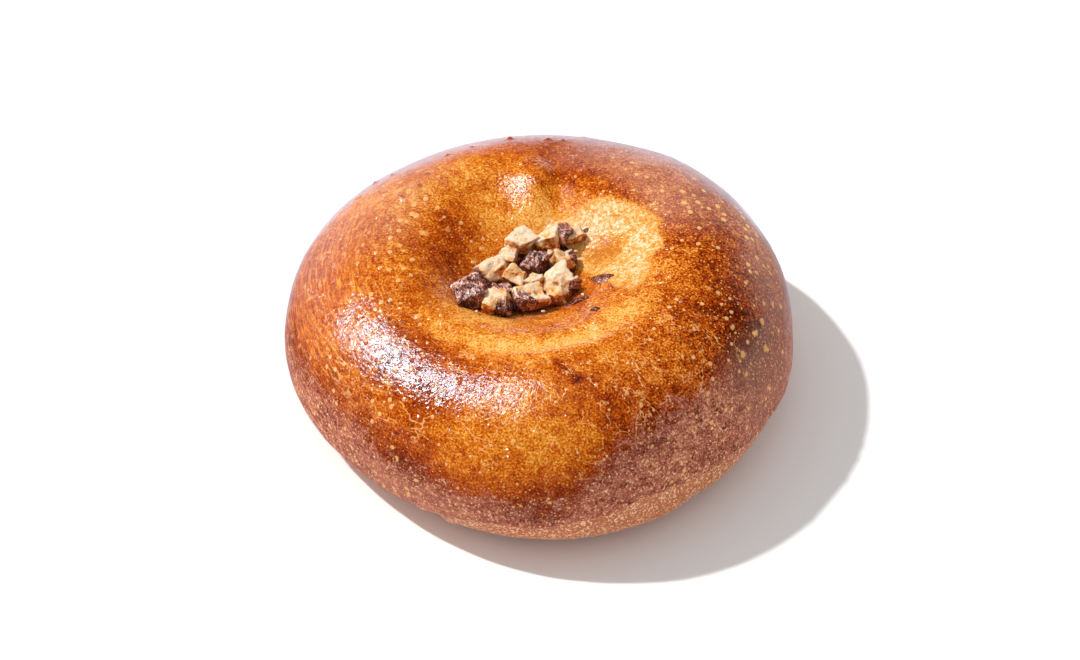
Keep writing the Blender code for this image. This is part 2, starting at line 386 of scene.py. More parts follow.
# Browning of the crust, 0 pale to 1 burnt: all over, and then x, y, two radii, turn, change
plainBrowning = 0.355
browningSpots = [
    (-14, -39, 8, 4, 0, -0.13),  # paler below the lamp's highlight
    (-3, -49.5, 9, 3, 0, 0.09),
    (17, -44, 6, 4, 0, -0.09),
    (30, -30, 6, 4, 0, -0.1),
    (30.5, -14, 5, 4, 0, 0.1),  # darker right shoulder
    (23.5, -4, 4, 4, 0, -0.08),
    (-20, 8.5, 5, 4, 0, -0.08),
    (-5.5, 19.2, 4, 3, 0, 0.09),
    (-14.8, 26.2, 6, 4, 0, -0.14),
    (-12, -50.5, 7, 3, 0, -0.1),
    (4, -20.5, 6, 2.5, 0, 0.09),
    (-15.8, -21.5, 5, 3, -40, 0.12),
    (-18, 5, 6, 13, 8, 0.26),  # left wall of the hollow
    (-25, -10, 7, 9, 20, 0.04),
    (42, -14, 8, 14, 25, 0.40),  # dark right shoulder
    (31, -19, 9, 10, 0, 0.12),
    (36, 14, 9, 15, 0, 0.17),
    (43, 4, 6, 8, 0, 0.12),
    (14, -42, 10, 5, 10, 0.17),
    (6, 28, 7, 8, 0, 0.14),  # behind the valley
    (8, 38, 22, 6, 0, 0.16),  # beyond the crest at the back
    (16, 22, 8, 4, -30, 0.12),
    (-46, 5, 7, 16, 0, 0.12),
    (-3, 15.5, 11, 4.5, 5, -0.25),  # pale wall behind the walnut
    (-12, 9, 4, 5, 40, -0.1),
    (-11, -15, 9, 4, -20, -0.22),  # pale below the walnut
    (12, -13, 8, 5, 0, -0.1),
    (-28, -25, 6, 6, 0, 0.08),
    (28, -28, 7, 5, 0, -0.08),
    (13, -49, 15, 7, 0, 0.05),
    (-36, 20, 8, 8, 0, -0.1),
    (-24, 18, 6, 5, 0, -0.17),
    (3, -45, 10, 4, 0, -0.16),
    (-24, -38, 8, 5, 30, 0.12),
    (12, -37, 8, 4, 0, 0.09),
    (-14, 11, 3.5, 3, 0, 0.14),
    (-29, -24, 13, 7, -50, 0.24),  # under the lamp's reflection
    (-15, -35, 10, 5, -25, 0.2),
    (5.5, -33, 2.4, 0.9, -35, 0.3),  # wrinkles on the front lip
    (7.5, -35, 1.6, 0.7, 20, 0.3),
    (3.6, -31, 1.6, 0.6, -50, 0.25),
    (16.5, -6.5, 5, 2.5, 20, 0.1),  # round the skin beside the hollow
    (26, 3, 3.5, 6, 0, 0.12),
]

# The golden stretch along the groove
goldenArc = {
    "centre": (-3.4, 1.0),
    "radius": 26.5,
    "width": 2.8,
    "turns": (215, 338),
    "fade": 22,
    "change": -0.26,
}

# Where the glaze is missing beside the hollow, going round
paleEdge = [
    (1.5, 17.5), (4, 16.3), (7.5, 16.2), (9.5, 17.8), (12.2, 19), (15, 18.6), (17.6, 16.9), (20, 15.4),
    (22.8, 13.2), (25, 10.6), (24.2, 8.4), (25.6, 5.6), (25, 2.6), (22.6, 0.4), (22.8, -3), (21, -7),
    (18.5, -10), (15, -6), (11.5, -1), (8, 3), (4, 7), (0, 12),
]


def polygonDistance(x, y, corners):
    # distance to the nearest side of a closed outline, positive inside it
    corners = np.array(corners, dtype=float)
    nearest = np.full(x.shape, 1e9)
    inside = np.zeros(x.shape, dtype=bool)
    for (ax, ay), (bx, by) in zip(corners, np.roll(corners, -1, axis=0)):
        dx = bx - ax
        dy = by - ay
        along = np.clip(((x - ax) * dx + (y - ay) * dy) / (dx**2 + dy**2), 0, 1)
        nearest = np.minimum(nearest, np.hypot(x - ax - along * dx, y - ay - along * dy))
        crossing = ax + (y - ay) * dx / (dy or 1e-9)
        inside ^= ((ay > y) != (by > y)) & (x < crossing)
    return np.where(inside, nearest, -nearest)


def bunMeridian():
    # rings from the base's middle outwards, up the round heel, over the dome and in to the middle;
    # a height of -1 stands for the dome's own
    base, heel, dome, inner = bunSurface["rings"]
    baseShare = bunForm["baseShare"]
    roundness = 2 / bunSurface["heelFullness"]
    angle = np.pi / 2 * np.arange(1, heel) / heel
    heelShares = baseShare + (1 - baseShare) * np.sin(angle) ** roundness
    heelHeights = bunForm["widestHeight"] * (1 - np.cos(angle) ** roundness)
    fullness = bunForm["domeFullness"]
    lastAngle = math.acos(bunSurface["innerShare"] ** (fullness / 2))
    domeShares = np.cos(lastAngle * np.arange(dome) / dome) ** (2 / fullness)
    innerShares = bunSurface["innerShare"] * (1 - np.arange(inner) / inner)
    baseShares = baseShare * np.arange(1, base + 1) / base
    shares = np.concatenate((baseShares, heelShares, domeShares, innerShares))
    return shares, np.concatenate((np.zeros(base), heelHeights, np.full(dome + inner, -1)))


def crustDistance(place, x, y):
    # distance from a point on the top of the plain form
    return np.linalg.norm(place - np.array([x, y, topHeight(x, y)]), axis=-1)


def raisedSpots(place, spots):
    # the sum of height * low dome
    return sum(rise * lowDome(crustDistance(place, cx, cy), reach) for cx, cy, reach, rise in spots)


def bunRelief(place):
    # undulations, blisters and the ridge of the heel, in millimetres along the surface's normal
    x, y, z = np.moveaxis(place, -1, 0)
    relief = raisedSpots(place, darkBlisters + paleBlisters)
    for i, (size, rise) in enumerate(bunSurface["undulations"]):
        relief = relief + rise * latticeNoise(place, size, 20 + i)
    onTop = rises(z, 9, 12)  # the base and the heel are left smoother
    for i, (spacing, reach, rise) in enumerate(bunSurface["blisters"]):
        relief = relief + rise * onTop * blisterNoise(place, spacing, reach, 40 + i)
    relief = relief + onTop * swellings(x, y, smallDents)
    for cx, cy, cz, reach, rise in sideDents:
        relief = relief + rise * bell(np.linalg.norm(place - np.array([cx, cy, cz]), axis=-1), reach)
    for cx, cy, reach, rise in burstBlisters:
        # a rim of 0.28 radii wide round a dip
        share = crustDistance(place, cx, cy) / reach
        relief = relief + rise * (bell(share - 0.8, 0.28) - 0.6 * bell(share, 0.5))
    # the side stands out above the ledge and steps in below it
    below = ledgeEdge(place)
    ledge = bunSurface["ledge"]
    relief = relief + ledge["rise"] * bell(below + ledge["width"], ledge["width"])
    return relief - ledge["step"] * rises(below, -ledge["width"] / 2, ledge["width"]) * rises(z, 0, 4)


def browning(place):
    # the sum of oval bells, the golden arc, and a spot on each dark blister
    x, y, z = np.moveaxis(place, -1, 0)
    level = plainBrowning + goldenArc["change"] * arcBell(x, y, goldenArc)
    for cx, cy, along, across, degrees, change in browningSpots:
        u, v = turnedFrame(x, y, (cx, cy), degrees)
        level = level + change * bell(u, along) * bell(v, across) * rises(z, 8, 10)
    return level + raisedSpots(place, [(cx, cy, 0.9 * reach, 0.35) for cx, cy, reach, _ in darkBlisters])


# Where the brushed glaze begins, and the ledge of the heel, round the bun: degrees and height
glazeLine = [
    (-172, 17.5), (-158, 19.2), (-145, 20), (-130, 17.6), (-119, 18), (-106, 17.5), (-90, 16.5),
    (-83, 18.5), (-77, 23), (-70, 27), (-60, 29.5), (-50, 30), (-40, 29), (-25, 26), (-15, 23),
    (0, 20), (30, 19), (60, 17), (100, 18), (140, 16.5), (165, 18),
]
ledgeLine = [
    (-160, 5), (-124, 7.3), (-106, 10.4), (-92, 11.1), (-78, 13), (-67, 15.6), (-52, 14.1), (-40, 13),
    (-10, 9), (90, 6),
]


def heightOver(place, knots):
    # height above a line round the side, straight between its knots and closed behind the last
    x, y, z = np.moveaxis(place, -1, 0)
    angles, heights = np.array(knots, dtype=float).T
    return z - np.interp(np.degrees(np.arctan2(y, x)), angles, heights, period=360)


def glazeEdge(place):
    # height above the line that the brushed glaze reaches, with a small wander
    return heightOver(place, glazeLine) - latticeNoise(place, 5, 51) - 0.6 * latticeNoise(place, 2.2, 52)


def ledgeEdge(place):
    # height below the ledge, where the side turns under
    return 0.9 * latticeNoise(place, 7, 53) - heightOver(place, ledgeLine)


# Where the glaze is thin beyond the crest, and low on the front left: outside a radius from a middle,
# with its fade, between two directions, with theirs, below a height, and how much of the glaze is missing
dullStretches = [
    # the first, low on the front left, is a painted sheen of light from the left at a slant
    ((0, 0), 40, 5, (-155, -92), 25, 17, 0.5),
    ((0, 6), 20, 8, (-5, 95), 25, 99, 0.55),
    ((0, 6), 36, 14, (-25, 60), 20, 99, 0.8),
    ((0, 6), 45, 6, (-48, 0), 15, 99, 0.7),
    ((0, 6), 33, 5, (65, 175), 25, 99, 0.5),
    ((0, 6), 22, 10, (115, 195), 25, 99, 0.35),
]


def dullShare(place):
    # the largest of the stretches at each place
    total = np.zeros(place.shape[:-1])
    for centre, radius, fade, turns, turnFade, top, share in dullStretches:
        dx = place[..., 0] - centre[0]
        dy = place[..., 1] - centre[1]
        missing = share * rises(np.hypot(dx, dy), radius, fade) * turnShare(dx, dy, turns, turnFade)
        total = np.maximum(total, missing * rises(top - place[..., 2], 0, 6))
    return total


def crustMarks(plain):
    # what the crust's material reads at each point: edges in centimetres, and sums of rises and bells
    x, y, z = plain.T
    outerLeft = rises(np.hypot(x + 3, y), 27, 8) * rises(y - x, 20, 20)
    return {
        "browning": browning(plain),
        "glazeEdge": glazeEdge(plain) / 10,
        "ledgeEdge": ledgeEdge(plain) / 10,
        # the stretch without glaze: its edge, its soft front end and how golden it is
        "paleEdge": np.where(z > 15, polygonDistance(x, y, paleEdge), -30) / 10,
        "paleFade": rises(y, -14, 9),
        "patchTone": 0.43 + 0.6 * bell(np.hypot(x - 13.6, y - 6), 3.9),
        # freckles: more to the right, fewer beyond the crest at the back left
        "speckle": (0.9 + 0.5 * rises(x, 5, 35)) * (1 - 0.5 * outerLeft),
        # small pale dots: left of the hollow, on the left and right sides and at the back right
        "dotty": bell(np.hypot(x + 21, y - 10), 8)
        + 0.5 * rises(-x, 18, 8)
        + 0.6 * rises(x + y, 38, 10)
        + 0.4 * rises(x, 22, 10),
        # shine: more high up, little behind the walnut, and a bright spot at its right
        "thickGlaze": (0.25 + 0.75 * rises(z, 20, 9)) * (1 - 0.95 * bell(np.hypot(x - 7, y - 19), 6.5))
        + 0.9 * bell(np.hypot(x - 13, y - 3.5), 4.5),
        # streaks on the left side and at the back right, hair cracks on the upper front
        "streaks": rises(-x, 20, 15) * rises(-np.abs(y), -42, 20) + 0.6 * rises(x + y, 48, 10),
        "cracks": rises(-y, 12, 8) * rises(z + 0.22 * x.clip(0, 30), 21, 5),
        "dull": dullShare(plain),
        # where the painted sheen of the pale wall shows at a slant: most at the back and high up
        "rim": 1.4 * rises(z, 12, 8) * rises(y, -35, 15)
        + 0.7 * rises(y, 12, 14)
        + 0.2 * rises(x, 20, 10)
        - 1,
        "paleBlister": raisedSpots(plain, [(cx, cy, 0.8 * reach, 1) for cx, cy, reach, _ in paleBlisters]),
    }


def buildBun():
    # the plain form's rings, moved along their normals by the relief
    sides = bunSurface["sides"]
    shares, heights = (values[:, None] for values in bunMeridian())
    turns = 2 * np.pi * np.arange(sides) / sides
    reach = shares * outlineRadius(turns)
    x = reach * np.cos(turns) - outlineMiddle[0]
    y = reach * np.sin(turns) - outlineMiddle[1]
    z = np.where(heights < 0, topHeight(x, y), heights)
    place = np.stack((x, y, z), axis=-1)

    around = np.roll(place, -1, axis=1) - np.roll(place, 1, axis=1)
    normal = np.cross(around, np.gradient(place, axis=0))
    normal = normal / np.linalg.norm(normal, axis=-1, keepdims=True).clip(1e-9)
    relief = (bunRelief(place) - bunSurface["inset"]) * rises(z, 0, 1.5)
    moved = place + normal * relief[..., None]
    # the underside is pressed flat by the tray, with shallow dimples
    dimples = bunSurface["dimples"]
    dented = dimples["depth"] * rises(latticeNoise(place, dimples["size"], 61), -0.5, 1)
    moved[..., 2] += dented * rises(-shares, -dimples["edge"], 0.06) * (heights == 0)
    moved[..., 2] = moved[..., 2].clip(0, bunSurface["highest"])

    middle = (-outlineMiddle[0], -outlineMiddle[1])
    bottomPole = np.array([[*middle, dimples["depth"] / 2]])
    topPole = np.array([[*middle, topHeight(*middle) - bunSurface["inset"]]])
    points = np.concatenate((bottomPole, moved.reshape(-1, 3), topPole))
    plain = np.concatenate((bottomPole, place.reshape(-1, 3), topPole))
    return makePiece("bunCrust", points, *polesAndRings(sides, len(shares)), crustMarks(plain))


crustLooks = {
    # colour of the glazed crust, from pale to burnt
    "glazed": [
        (0.0, (0.85, 0.49, 0.14)),
        (0.15, (0.76, 0.31, 0.036)),
        (0.3, (0.62, 0.162, 0.010)),
        (0.45, (0.445, 0.077, 0.004)),
        (0.6, (0.28, 0.035, 0.002)),
        (0.78, (0.13, 0.011, 0.001)),
        (1.0, (0.035, 0.005, 0.002)),
    ],
    # colour of the bare crust low on the side
    "bare": [
        (0.0, (0.74, 0.38, 0.20)),
        (0.3, (0.48, 0.155, 0.090)),
        (0.5, (0.335, 0.094, 0.060)),
        (0.75, (0.165, 0.034, 0.019)),
        (1.0, (0.07, 0.014, 0.009)),
    ],
    "ledge": (0.50, 0.155, 0.055, 1),
    "bloomAndSheen": (0.54, 0.24, 0.17, 1),  # matte crust beyond the crest, its pink partly a painted sheen of the pale wall
    "rim": (0.47, 0.40, 0.48, 1),  # painted reflection of the pale wall where the crust is seen at a slant
    # colour of the stretch without glaze beside the hollow
    "patch": [
        (0.0, (0.86, 0.73, 0.55)),
        (0.3, (0.82, 0.54, 0.26)),
        (0.55, (0.74, 0.32, 0.05)),
        (1.0, (0.50, 0.15, 0.015)),
    ],
    "glazedFleck": (0.90, 0.44, 0.10, 1),
    "bareFleck": (0.95, 0.58, 0.34, 1),
    "blister": (0.90, 0.49, 0.16, 1),
    "crack": (0.93, 0.50, 0.19, 1),
    # unevenness: size in millimetres, detail, roughness and distortion
    "noises": {
        "broad": (8, 3, 0.55),
        "medium": (2.4, 4, 0.6),
        "grain": (0.42, 2, 0.65),
        "mottling": (0.6, 3, 0.65, 0.8),
    },
    "glazeRoughness": 0.32,
    "bareRoughness": 0.62,
    "surface": {
        "Coat Roughness": 0.045,
        "Coat IOR": 1.45,
        "Sheen Weight": 0.4,
        "Sheen Roughness": 0.2,
        "Sheen Tint": (0.85, 0.85, 1.0, 1),
        "Specular IOR Level": 0.0,
    },
}


def sideStreaks(crust):
    # fine streaks round the side: noise that reads a circle's direction and the way up the side
    flat = crust.vector("MULTIPLY", crust.place, (1, 1, 0))
    outwards = crust.vector("LENGTH", flat, socket="Value")
    upwards = crust.output("SeparateXYZ", {0: crust.place}, "Z")
    climb = crust.output("CombineXYZ", {"Z": crust.calculate("SUBTRACT", upwards, outwards)})
    place = crust.vector("MULTIPLY_ADD", crust.vector("NORMALIZE", flat), (11, 11, 0), climb)
    return crust.noise(0.8, 3, 0.6, 0.5, place)


def hairCracks(crust):
    # the borders of long bent cells, broken off where a broad noise is low
    turn = {"Vector": crust.place, "Rotation": (0, 0, math.radians(-38)), "Scale": (2.4, 1, 1)}
    slanted = crust.output("Mapping", turn, vector_type="TEXTURE")
    bend = crust.output("TexNoise", {"Vector": slanted, "Scale": 0.4, "Detail": 3}, "Color")
    bent = crust.vector("MULTIPLY_ADD", bend, (3.5, 3.5, 3.5), slanted)
    cells = {"Vector": bent, "Scale": 1 / 3.6}
    border = crust.output("TexVoronoi", cells, "Distance", feature="DISTANCE_TO_EDGE")
    places = crust.fade(crust.noise(4.5, 2, 0.5), 0.46, 0.58)
    return crust.multiply(crust.fade(border, 0.006, 0.028, 1.0, 0.0), places, crust.mark("cracks"))


def crustMaterial():
    # each colour is a ramp over marks and noise; glaze, flecks, cracks and the pale stretch are mixed in
    looks = crustLooks
    crust = newMaterial("glazedCrust")
    glazeMark = crust.mark("glazeEdge")
    speckle = crust.mark("speckle")
    streaky = crust.mark("streaks")
    dull = crust.mark("dull")
    broad, medium, grain, mottling = (crust.unevenness(*noise) for noise in looks["noises"].values())
    streaks = sideStreaks(crust)
    flecks = crust.spots(0.8, (0.12, 0.3), (0.25, 0.95))
    blisterDots = crust.spots(2.3, (0.08, 0.19), (0.15, 0.55), 1, crust.mark("dotty"))

    # browning: the mark with unevenness, streaks and a burnt line where the glaze ends
    uneven = crust.addShares(crust.multiply(grain, 1.4), (medium, 0.7), (broad, 0.35))
    fromBurntLine = crust.calculate("ABSOLUTE", crust.calculate("SUBTRACT", glazeMark, 0.15))
    burnt = crust.fade(fromBurntLine, 0.0, 0.7, 0.18, 0.0)
    tone = crust.addShares(burnt, (uneven, speckle), (crust.scaleAdd(streaks, -0.6, 0.3), streaky))
    tone = crust.calculate("ADD", tone, crust.mark("browning"))

    glazedColour = crust.ramp(tone, looks["glazed"])
    glazedColour = crust.mix(crust.multiply(flecks, speckle), glazedColour, looks["glazedFleck"])
    streakShare = crust.multiply(crust.fade(streaks, 0.5, 0.72, 0.0, 0.38), streaky)
    glazedColour = crust.mix(streakShare, glazedColour, looks["glazedFleck"])

    # the bare crust is crumbly, most of all where it turns under the ledge
    underLedge = crust.fade(crust.mark("ledgeEdge"), -0.03, 0.06)
    bareTone = crust.calculate("ADD", tone, crust.fade(streaks, 0.35, 0.65, 0.167, -0.013))
    bareTone = crust.addShares(bareTone, (grain, -0.3), (medium, 0.35), (mottling, 0.8))
    bareFlecks = crust.multiply(flecks, crust.scaleAdd(underLedge, 0.35, 0.6))
    crumbly = crust.scaleAdd(underLedge, 0.06, crust.noise(0.5, 1, 0.5, 0.6))
    crumbly = crust.calculate("MAXIMUM", bareFlecks, crust.fade(crumbly, 0.6, 0.7, 0.0, 0.85))
    bareColour = crust.ramp(bareTone, looks["bare"])
    bareColour = crust.mix(crust.multiply(underLedge, 0.7), bareColour, looks["ledge"])
    bareColour = crust.mix(crumbly, bareColour, looks["bareFleck"])

    # the glaze ends in a broken, soft border
    border = crust.addShares(glazeMark, (medium, 1.5), (grain, 1.2))
    glazed = crust.multiply(crust.fade(border, -0.2, 0.2), crust.scaleAdd(dull, -1.0, 1.0))
    colour = crust.mix(glazed, bareColour, glazedColour)
    dotShare = crust.calculate("MULTIPLY", blisterDots, speckle, use_clamp=True)
    # painted reflection: the colour turns lilac where the crust is seen at a slant, more where the mark is
    # high
    slant = crust.output("LayerWeight", {"Blend": 0.5}, "Facing")
    slant = crust.scaleAdd(crust.mark("rim"), 0.25, slant)
    # the bloom colour, mixed where the glaze is thin, is partly a painted sheen of the pale wall
    for share, name in (
        (crust.multiply(dull, 0.55), "bloomAndSheen"),
        (crust.multiply(hairCracks(crust), crust.scaleAdd(glazed, 0.5, 0.15)), "crack"),
        (crust.multiply(dotShare, 0.8), "blister"),
        (crust.fade(slant, 0.82, 1.14, 0.0, 0.7), "rim"),
        (crust.fade(crust.mark("paleBlister"), 0.1, 0.4, 0.0, 0.65), "blister"),
    ):
        colour = crust.mix(share, colour, looks[name])

    # the stretch without glaze
    paleLine = crust.addShares(crust.mark("paleEdge"), (medium, 0.5), (mottling, 0.3))
    pale = crust.multiply(crust.fade(paleLine, -0.01, 0.02), crust.mark("paleFade"))
    patchTone = crust.addShares(crust.fade(paleLine, 0.0, 0.35, 0.12, 0.0), (mottling, 2.3), (medium, 1.0))
    patchTone = crust.calculate("ADD", patchTone, crust.mark("patchTone"))
    colour = crust.mix(pale, colour, crust.ramp(patchTone, looks["patch"]))

    # the glaze's small smooth cells shine, between dull creases
    crease = crust.fade(crust.calculate("ABSOLUTE", crust.unevenness(0.9, 2, 0.65, 1.0)), 0.025, 0.065)
    shine = crust.multiply(glazed, crust.scaleAdd(pale, -0.55, 1.0), crust.mark("thickGlaze"), crease)
    shine = crust.calculate("MAXIMUM", shine, crust.scaleAdd(underLedge, 0.35, 0.03))

    # the glaze lies in gentle waves, with a few steep grains that glint
    relief = crust.addShares(crust.multiply(grain, 0.6), (streaks, 0.5), (blisterDots, 1.0), (flecks, 0.4))
    grits = crust.spots(1.9, (0.0, 0.3), (0.3, 0.7))
    waves = crust.noise(0.8, 1, 0.5, 0.5)
    waves = crust.addShares(
        waves, (grits, 2.4), (blisterDots, 1.1), (crust.multiply(streaks, streaky), 0.9)
    )
    surface = {
        "Base Color": colour,
        "Roughness": crust.between(shine, looks["bareRoughness"], looks["glazeRoughness"]),
        "Coat Weight": shine,
        "Normal": crust.bump(relief, 0.06),
        "Coat Normal": crust.bump(waves, 0.12),
    }
    crust.plug(crust.surface, {**looks["surface"], **surface})
    return crust.owner


bun = buildBun()
bun.data.materials.append(crustMaterial())
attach(bun, "root")
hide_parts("bun")
print("bun made:", len(bun.data.polygons), "faces")

walnutCut = {
    "sides": 84,
    "rings": 52,
    "squareness": 26,  # how crisp the cut edges are
    "tilt": 14,
    "sideShares": (0.8, 0.95),
    "chippedCorners": 4,
    "chipShares": (0.58, 0.82),
    "splinters": 6,  # more, smaller cuts
    "splinterShares": (0.8, 0.97),
    "dents": 7,
    "dentDepths": (0.06, 0.26),  # share of the reach
    "dentWidths": (0.25, 0.5),  # radians
    "lean": 12,
    "roughCut": ((1.7, 0.32), (0.75, 0.18), (0.36, 0.08)),  # size and height of the unevenness
}

# The pieces: x, y, height above the hollow, length, width, height, turn, then the skin's direction and how
# little of the piece it covers, and how brown the kernel is
walnutPieces = [
    (-3.6, 8.8, 2.5, 7.0, 6.4, 7.0, 52, (0, 0, -1), 0.9, 0.15),
    (2.1, 9.0, 2.6, 6.4, 6.0, 6.0, -15, (0, 1, -1), 0.9, 0.45),
    (5.0, 9.8, 2.7, 5.2, 4.4, 4.6, 30, (-0.5, -0.5, 0.6), -0.6, 0.35),
    (7.5, 9.9, 1.7, 5.6, 3.2, 3.2, 35, (0, 0, -1), 0.9, 0.35),
    (-6.4, 4.6, 2.2, 5.2, 4.4, 4.6, 70, (0, 0, -1), 0.9, 0.2),
    (-0.9, 2.6, 3.1, 5.8, 5.4, 5.8, 40, (0.2, -0.8, 0.6), -0.8, 0.6),
    (5.2, 3.9, 2.6, 6.6, 4.8, 4.8, 30, (1, 0.2, 0.2), 0.72, 0.45),
    (-9.3, 0.7, 2.5, 7.2, 6.2, 6.0, 35, (-1, -0.3, -0.4), 0.62, 0.3),
    (-4.8, -0.9, 2.7, 5.2, 4.8, 5.2, -20, (0.3, -0.5, -0.6), 0.5, 0.65),
    (3.3, -1.7, 2.6, 8.4, 5.0, 3.6, 12, (0, 0, -1), 0.9, 0.12),
    (-0.7, -1.9, 2.2, 4.6, 4.0, 4.2, 60, (0, 0, -1), 0.9, 0.3),
    (6.2, -4.0, 2.2, 7.0, 3.4, 4.2, 48, (0.9, -0.5, 0.1), 0.35, 0.25),
    (-13.5, -8.6, 2.5, 7.2, 6.4, 6.2, 15, (0.3, -0.5, 0.8), -0.85, 0.6),
    (-7.9, -10.2, 2.4, 6.6, 6.0, 6.2, 75, (0.7, -0.7, -0.3), 0.25, 0.45),
    (-1.6, -8.5, 2.9, 8.0, 6.0, 5.8, 22, (-0.5, -0.8, 0.2), 0.55, 0.5),
    (3.4, -7.2, 2.1, 4.6, 4.0, 4.2, -30, (0, 0, -1), 0.9, 0.5),
    (-7.3, -4.6, 1.9, 4.6, 4.0, 4.2, 10, (0, -0.3, 1), -0.8, 0.8),
]


def cutPlanes(length, width, height, dice):
    # an uneven block's six sides and a few chipped corners, as unit normals and distances
    normals = []
    reaches = []
    halves = (length / 2, width / 2, height / 2)
    tilt = walnutCut["tilt"]
    for axis, half in enumerate(halves):
        for side in (-1, 1):
            normal = Vector((0, 0, 0))
            normal[axis] = side
            normal.rotate(Euler([math.radians(dice.uniform(-tilt, tilt)) for _ in range(3)]))
            normals.append(normal)
            reaches.append(half * dice.uniform(*walnutCut["sideShares"]))
    for _ in range(walnutCut["chippedCorners"]):
        corner = Vector([dice.choice((-1, 1)) * half for half in halves])
        normals.append(corner.normalized())
        reaches.append(corner.length * dice.uniform(*walnutCut["chipShares"]))
    return np.array([tuple(normal) for normal in normals]), np.array(reaches)


def unitSphere(sides, rings):
    # directions at even angles: down, rings from the bottom up, and up
    level = np.pi * (np.arange(1, rings + 1) / (rings + 1) - 0.5)
    level, turn = np.meshgrid(level, 2 * np.pi * np.arange(sides) / sides, indexing="ij")
    ring = np.stack((np.cos(level) * np.cos(turn), np.cos(level) * np.sin(turn), np.sin(level)), axis=-1)
    return np.concatenate(([[0, 0, -1]], ring.reshape(-1, 3), [[0, 0, 1]]))


def randomDirections(count, dice):
    # normal draws scaled to a length of 1
    directions = dice.normal(size=(count, 3))
    return directions / np.linalg.norm(directions, axis=1, keepdims=True)


def blockReach(directions, normals, reaches):
    # distance to the surface: (sum of (direction . normal / distance)^p)^(-1/p), which rounds the cut edges
    power = walnutCut["squareness"]
    return ((directions @ normals.T / reaches).clip(0) ** power).sum(axis=1) ** (-1 / power)


def choppedReach(directions, normals, reaches, dice):
    # splinters are more planes just under the block's surface, and dents are bells pressed into it
    values = walnutCut
    splinters = randomDirections(values["splinters"], dice)
    shares = dice.uniform(*values["splinterShares"], values["splinters"])
    splinterReaches = blockReach(splinters, normals, reaches) * shares
    normals = np.concatenate((normals, splinters))
    reach = blockReach(directions, normals, np.concatenate((reaches, splinterReaches)))
    for middle in randomDirections(values["dents"], dice):
        depth = dice.uniform(*values["dentDepths"])
        width = dice.uniform(*values["dentWidths"])
        reach = reach * (1 - depth * np.exp((directions @ middle - 1) * 2 / width**2))
    return reach


def placeBlock(directions, reach, angles, x, y, lift):
    # the turned directions, and direction * reach from a middle over the hollow
    outward = directions @ np.array(Euler(angles).to_matrix()).T
    return outward, outward * reach[:, None] + np.array([x, y, topHeight(x, y) + lift])


def roughen(points, outward):
    # lattice noise along the outward direction
    for i, (size, rise) in enumerate(walnutCut["roughCut"]):
        points = points + outward * (rise * (latticeNoise(points, size, 70 + i) - 0.4))[:, None]
    return points


def formMarks(points, sides, rings):
    # edge: how far each point stands out from the mean of its four neighbours, along the normal and in
    # spacings, then smoothed twice; upward: the normal's rise
    grid = points[1:-1].reshape(rings, sides, 3)
    below = np.concatenate((np.broadcast_to(points[0], (1, sides, 3)), grid[:-1]))
    above = np.concatenate((grid[1:], np.broadcast_to(points[-1], (1, sides, 3))))
    before = np.roll(grid, 1, axis=1)
    after = np.roll(grid, -1, axis=1)
    normal = np.cross(after - before, above - below)
    normal = normal / np.linalg.norm(normal, axis=-1, keepdims=True).clip(1e-9)
    neighbours = np.stack((below, above, before, after))
    spacing = np.linalg.norm(neighbours - grid, axis=-1).mean(axis=0).clip(1e-6)
    edge = ((grid - neighbours.mean(axis=0)) * normal).sum(axis=-1) / spacing
    for _ in range(2):
        edge = (edge + np.roll(edge, 1, axis=1) + np.roll(edge, -1, axis=1)) / 3
        edge[1:-1] = (edge[1:-1] + edge[:-2] + edge[2:]) / 3
    return np.concatenate(([0], edge.ravel(), [0])), np.concatenate(([-1], normal[..., 2].ravel(), [1]))


def joinPieces(name, parts, sides, rings):
    # parts: points, then skin, brownness and low-shade marks of equal closed forms; the low-shade mark is
    # painted shade
    size = sides * rings + 2
    faces = [polesAndRings(sides, rings, number * size) for number in range(len(parts))]
    quads, triangles = (np.concatenate(kind) for kind in zip(*faces))
    rows = zip(*[(*part, *formMarks(part[0], sides, rings)) for part in parts])
    points = np.concatenate(next(rows))
    marks = {
        mark: np.concatenate([np.broadcast_to(value, size) for value in row])
        for mark, row in zip(("skin", "pieceTone", "paintedLowShade", "edge", "upward"), rows)
    }
    return makePiece(name, points, quads, triangles, marks)


def heightAbove(points):
    # 0 on the hollow's surface, 1 well above it
    x, y, z = points.T
    return rises(z, topHeight(x, y), 3.2)


def buildWalnut():
    # each piece: direction * reach of its block, leaned and turned, set over the hollow and roughened
    values = walnutCut
    blockDice = random.Random(11)
    detailDice = np.random.default_rng(12)
    directions = unitSphere(values["sides"], values["rings"])
    parts = []
    for x, y, lift, length, width, height, turn, skinSide, skinReach, brownness in walnutPieces:
        reach = choppedReach(directions, *cutPlanes(length, width, height, blockDice), detailDice)
        lean = [math.radians(blockDice.uniform(-values["lean"], values["lean"])) for _ in range(2)]
        outward, points = placeBlock(directions, reach, (*lean, math.radians(turn)), x, y, lift)
        points = roughen(points, outward)
        side = np.array(skinSide, dtype=float)
        skin = outward @ side / np.linalg.norm(side) - skinReach
        # the last mark paints shade on what lies low, near the hollow's surface
        parts.append((points, skin, brownness, 1 - heightAbove(points)))
    return joinPieces("walnutPieces", parts, values["sides"], values["rings"])


